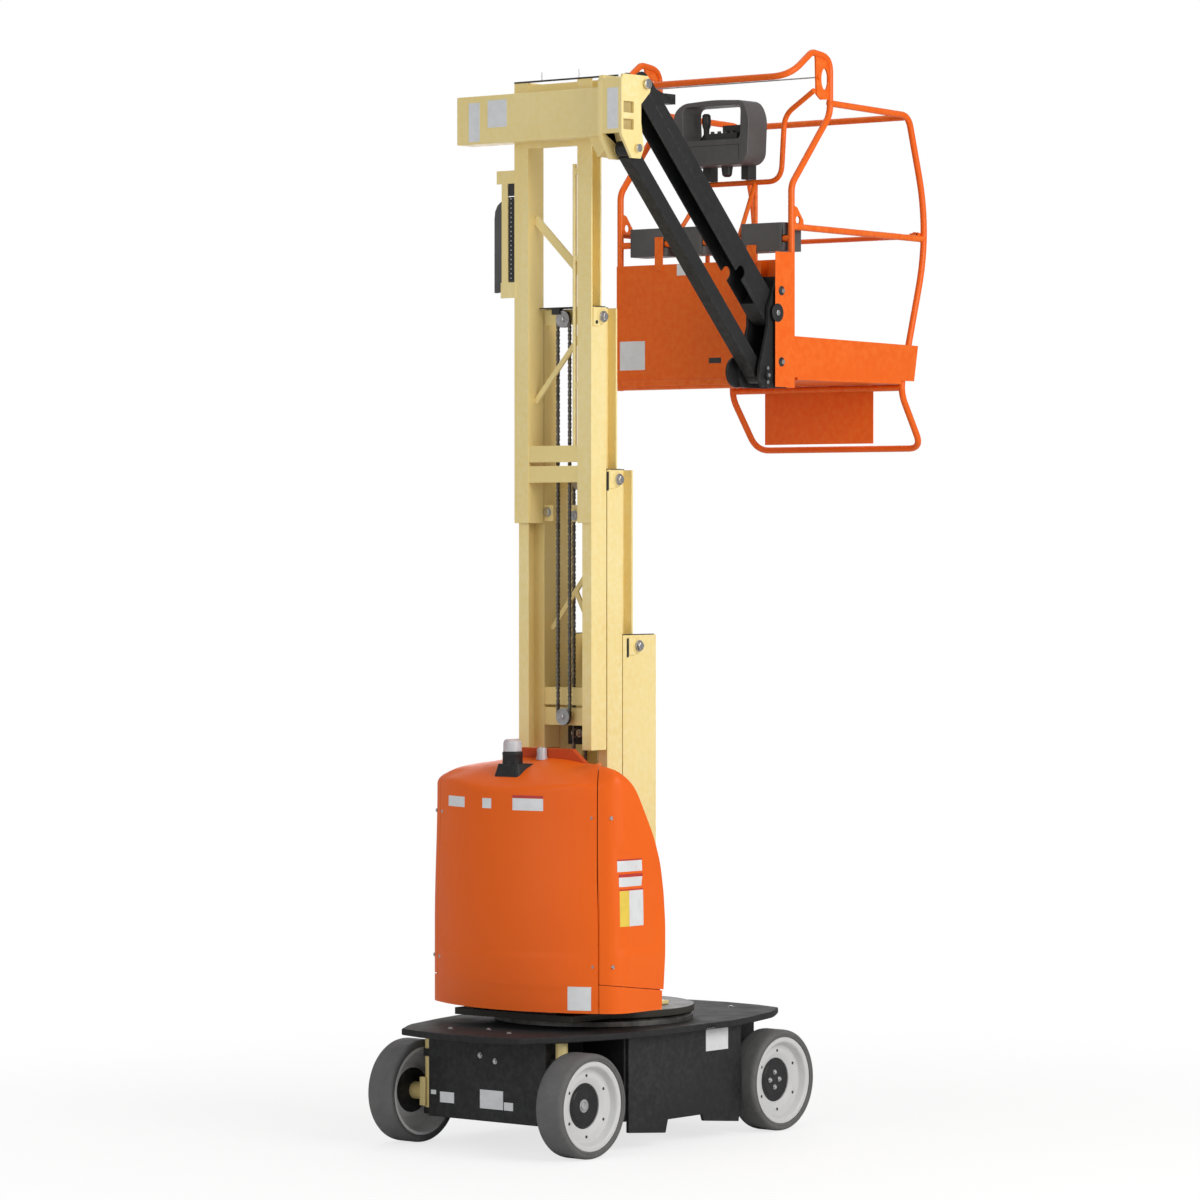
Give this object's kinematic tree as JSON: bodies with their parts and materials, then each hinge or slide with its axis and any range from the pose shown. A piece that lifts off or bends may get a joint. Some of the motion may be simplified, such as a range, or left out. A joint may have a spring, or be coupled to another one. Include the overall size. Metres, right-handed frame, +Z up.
{
  "type": "vertical mast lift with jib and one-person platform",
  "caption": "Self-propelled vertical mast lift: wheeled chassis, slewing hood and telescopic mast, with a parallel jib that carries a tubular work platform.",
  "frame": {"origin": "on the ground, under the middle of the overall length and width", "axes": "+X forward, towards the work platform; +Y left; +Z up"},
  "size_m": [2.531, 0.99, 4.3611],
  "materials": {
    "orange_paint": "gloss enamel",
    "cream_paint": "satin enamel",
    "black_paint": "satin powder coat",
    "rim_paint": "satin enamel",
    "grey_tyre": "matt non-marking rubber",
    "dark_plastic": "fine grain",
    "hood_plastic": "painted moulded cover",
    "clear_lens": "clear ribbed lens",
    "bare_steel": "machined"
  },
  "bodies": {
    "chassis": {"chassis_frame": "black_paint", "deck_plate": "black_paint", "side_skirt_left": "black_paint", "side_skirt_right": "black_paint", "slew_ring": "bare_steel", "drive_motor_left": "black_paint", "drive_motor_right": "black_paint", "kingpin_fork_left": "black_paint", "kingpin_fork_right": "black_paint"},
    "steer_left": {"knuckle_left": "cream_paint"},
    "steer_right": {"knuckle_right": "cream_paint"},
    "wheel_steer_left": {"tyre_steer_left": "grey_tyre", "rim_steer_left": "rim_paint", "hub_steer_left": "black_paint"},
    "wheel_steer_right": {"tyre_steer_right": "grey_tyre", "rim_steer_right": "rim_paint", "hub_steer_right": "black_paint"},
    "wheel_drive_left": {"tyre_drive_left": "grey_tyre", "rim_drive_left": "rim_paint", "hub_drive_left": "black_paint"},
    "wheel_drive_right": {"tyre_drive_right": "grey_tyre", "rim_drive_right": "rim_paint", "hub_drive_right": "black_paint"},
    "turntable": {"turntable_plate": "cream_paint", "mast_cheek_left": "cream_paint", "mast_cheek_right": "cream_paint", "hood_rear": "hood_plastic", "hood_side_left": "hood_plastic", "hood_side_right": "hood_plastic", "hood_skirt_left": "hood_plastic", "hood_skirt_right": "hood_plastic", "beacon_base": "black_paint", "beacon_lens": "clear_lens", "mast_section_4": "cream_paint", "lift_barrel": "black_paint"},
    "stage_3": {"mast_section_3": "cream_paint", "lift_rod": "bare_steel", "lift_chain_lower": "bare_steel"},
    "stage_2": {"mast_section_2": "cream_paint", "lift_chain_upper": "bare_steel"},
    "stage_1": {"mast_section_1": "cream_paint", "hose_guard": "dark_plastic", "jib_beam": "cream_paint", "jib_head": "cream_paint"},
    "jib_arm": {"jib_arm": "black_paint"},
    "jib_link": {"jib_link": "black_paint"},
    "platform": {"jib_carrier": "black_paint", "cage_bracket": "orange_paint", "cage_frame": "orange_paint", "cage_pan": "orange_paint", "back_panel": "orange_paint", "step_panel": "orange_paint", "control_console": "dark_plastic", "tool_tray_left": "dark_plastic", "tool_tray_right": "dark_plastic", "tool_tray_centre": "dark_plastic"},
    "entry_bar": {"entry_bar": "orange_paint"}
  },
  "joints": [
    {"name": "steer_left", "type": "hinge", "parent": "chassis", "child": "steer_left", "pos_m": [-0.9995, 0.335, 0.29], "axis": [0, 0, 1], "range_deg": [-38, 38]},
    {"name": "steer_right", "type": "hinge", "parent": "chassis", "child": "steer_right", "pos_m": [-0.9995, -0.335, 0.29], "axis": [0, 0, 1], "range_deg": [-38, 38]},
    {"name": "spin_steer_left", "type": "hinge", "parent": "steer_left", "child": "wheel_steer_left", "pos_m": [-0.9995, 0.4315, 0.203], "axis": [0, 1, 0], "continuous": true},
    {"name": "spin_steer_right", "type": "hinge", "parent": "steer_right", "child": "wheel_steer_right", "pos_m": [-0.9995, -0.4315, 0.203], "axis": [0, 1, 0], "continuous": true},
    {"name": "spin_drive_left", "type": "hinge", "parent": "chassis", "child": "wheel_drive_left", "pos_m": [0.2005, 0.4315, 0.203], "axis": [0, 1, 0], "continuous": true},
    {"name": "spin_drive_right", "type": "hinge", "parent": "chassis", "child": "wheel_drive_right", "pos_m": [0.2005, -0.4315, 0.203], "axis": [0, 1, 0], "continuous": true},
    {"name": "slew", "type": "hinge", "parent": "chassis", "child": "turntable", "pos_m": [-0.3995, 0, 0.503], "axis": [0, 0, 1], "range_deg": [-172.5, 172.5]},
    {"name": "mast_lift", "type": "slide", "parent": "turntable", "child": "stage_3", "axis": [0, 0, 1], "range_m": [-0.653, 0.32]},
    {"name": "mast_stage_2", "type": "slide", "parent": "stage_3", "child": "stage_2", "axis": [0, 0, 1], "range_m": [-0.638, 0.3127]},
    {"name": "mast_stage_1", "type": "slide", "parent": "stage_2", "child": "stage_1", "axis": [0, 0, 1], "range_m": [-0.8921, 0.4373]},
    {"name": "jib_lift", "type": "hinge", "parent": "stage_1", "child": "jib_arm", "pos_m": [-0.6595, -0.419, 4.14], "axis": [0, -1, 0], "range_deg": [-23.84, 116.16]},
    {"name": "jib_parallel", "type": "hinge", "parent": "stage_1", "child": "jib_link", "pos_m": [-0.7145, -0.419, 3.889], "axis": [0, -1, 0], "range_deg": [-23.85, 116.17]},
    {"name": "platform_level", "type": "hinge", "parent": "jib_arm", "child": "platform", "pos_m": [0.1635, -0.419, 3.283], "axis": [0, -1, 0], "range_deg": [-116.17, 23.85]},
    {"name": "entry_bar_lift", "type": "hinge", "parent": "platform", "child": "entry_bar", "pos_m": [1.2205, -0.405, 3.64], "axis": [1, 0, 0], "range_deg": [0, 80]}
  ],
  "couplings": [
    {"joint": "steer_right", "follows": "steer_left", "ratio": 1},
    {"joint": "mast_stage_2", "follows": "mast_lift", "ratio": 0.977},
    {"joint": "mast_stage_1", "follows": "mast_lift", "ratio": 1.366},
    {"joint": "jib_parallel", "follows": "jib_lift", "ratio": 1},
    {"joint": "platform_level", "follows": "jib_lift", "ratio": -1}
  ]
}
